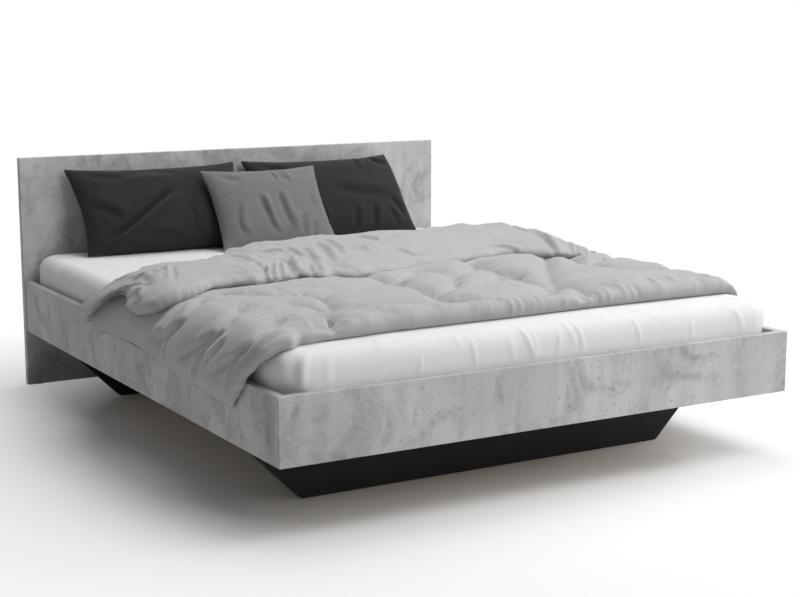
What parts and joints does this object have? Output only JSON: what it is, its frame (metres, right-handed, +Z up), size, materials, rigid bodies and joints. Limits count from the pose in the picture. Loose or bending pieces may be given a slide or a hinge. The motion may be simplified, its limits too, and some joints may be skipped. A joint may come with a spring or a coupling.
{
  "type": "floating double bed",
  "caption": "Low double bed of flat laminated panels on set-back plinth boards, with slatted base, mattress, fitted sheet, turned-down duvet, pillows and cushion.",
  "frame": {"origin": "on the floor, on the bed's centre line, at the underside of the middle glide of the front plinth board", "axes": "+Z up, +Y from foot to head, +X to the right seen from the foot"},
  "size_m": [1.7214, 2.055, 0.807],
  "materials": {
    "concrete_laminate": "matt laminate with a mottled concrete look",
    "black_laminate": "matt black laminate",
    "pine": "planed, untreated",
    "webbing": "woven tape",
    "zinc_steel": "zinc plated",
    "black_plastic": "moulded",
    "mattress_cover": "knitted cover over foam",
    "white_cotton": "smooth stretched cotton",
    "grey_cotton": "washed cotton, quilted",
    "charcoal_cotton": "brushed cotton",
    "mid_grey_cotton": "washed cotton"
  },
  "bodies": {
    "frame": {"foot_rail": "concrete_laminate", "rail_left": "concrete_laminate", "rail_right": "concrete_laminate", "headboard": "concrete_laminate", "plinth_front": "black_laminate", "plinth_rear": "black_laminate", "centre_beam": "pine", "cleat_left": "pine", "cleat_right": "pine", "slat_01": "pine", "slat_02": "pine", "slat_03": "pine", "slat_04": "pine", "slat_05": "pine", "slat_06": "pine", "slat_07": "pine", "slat_08": "pine", "slat_09": "pine", "slat_10": "pine", "slat_11": "pine", "slat_12": "pine", "slat_13": "pine", "slat_strap_left": "webbing", "slat_strap_right": "webbing", "corner_bracket_front_left": "zinc_steel", "corner_bracket_front_right": "zinc_steel", "corner_bracket_rear_left": "zinc_steel", "corner_bracket_rear_right": "zinc_steel", "plinth_bracket_front_left": "zinc_steel", "plinth_bracket_front_right": "zinc_steel", "plinth_bracket_rear_left": "zinc_steel", "plinth_bracket_rear_right": "zinc_steel", "beam_hanger_front": "zinc_steel", "beam_hanger_rear": "zinc_steel", "rail_screw_front_left": "zinc_steel", "rail_screw_front_right": "zinc_steel", "rail_screw_rear_left": "zinc_steel", "rail_screw_rear_right": "zinc_steel", "end_screw_front_left": "zinc_steel", "end_screw_front_right": "zinc_steel", "end_screw_rear_left": "zinc_steel", "end_screw_rear_right": "zinc_steel", "glide_front_left": "black_plastic", "glide_front_middle": "black_plastic", "glide_front_right": "black_plastic", "glide_rear_left": "black_plastic", "glide_rear_middle": "black_plastic", "glide_rear_right": "black_plastic", "glide_headboard_left": "black_plastic", "glide_headboard_right": "black_plastic"},
    "mattress": {"mattress_core": "mattress_cover", "fitted_sheet": "white_cotton"},
    "duvet": {"duvet": "grey_cotton"},
    "pillow_left": {"pillow_left": "charcoal_cotton"},
    "pillow_right": {"pillow_right": "charcoal_cotton"},
    "cushion": {"cushion": "mid_grey_cotton"}
  },
  "joints": [
    {"name": "mattress_lift", "type": "slide", "parent": "frame", "child": "mattress", "axis": [0, 0, 1], "range_m": [0, 0.6]},
    {"name": "duvet_lift", "type": "slide", "parent": "mattress", "child": "duvet", "axis": [0, 0, 1], "range_m": [0, 0.35]},
    {"name": "pillow_left_pull", "type": "slide", "parent": "mattress", "child": "pillow_left", "axis": [-1, 0, 0], "range_m": [0, 0.85]},
    {"name": "pillow_right_pull", "type": "slide", "parent": "mattress", "child": "pillow_right", "axis": [1, 0, 0], "range_m": [0, 0.85]},
    {"name": "cushion_lift", "type": "slide", "parent": "mattress", "child": "cushion", "axis": [0, 0, 1], "range_m": [0, 0.4]}
  ]
}
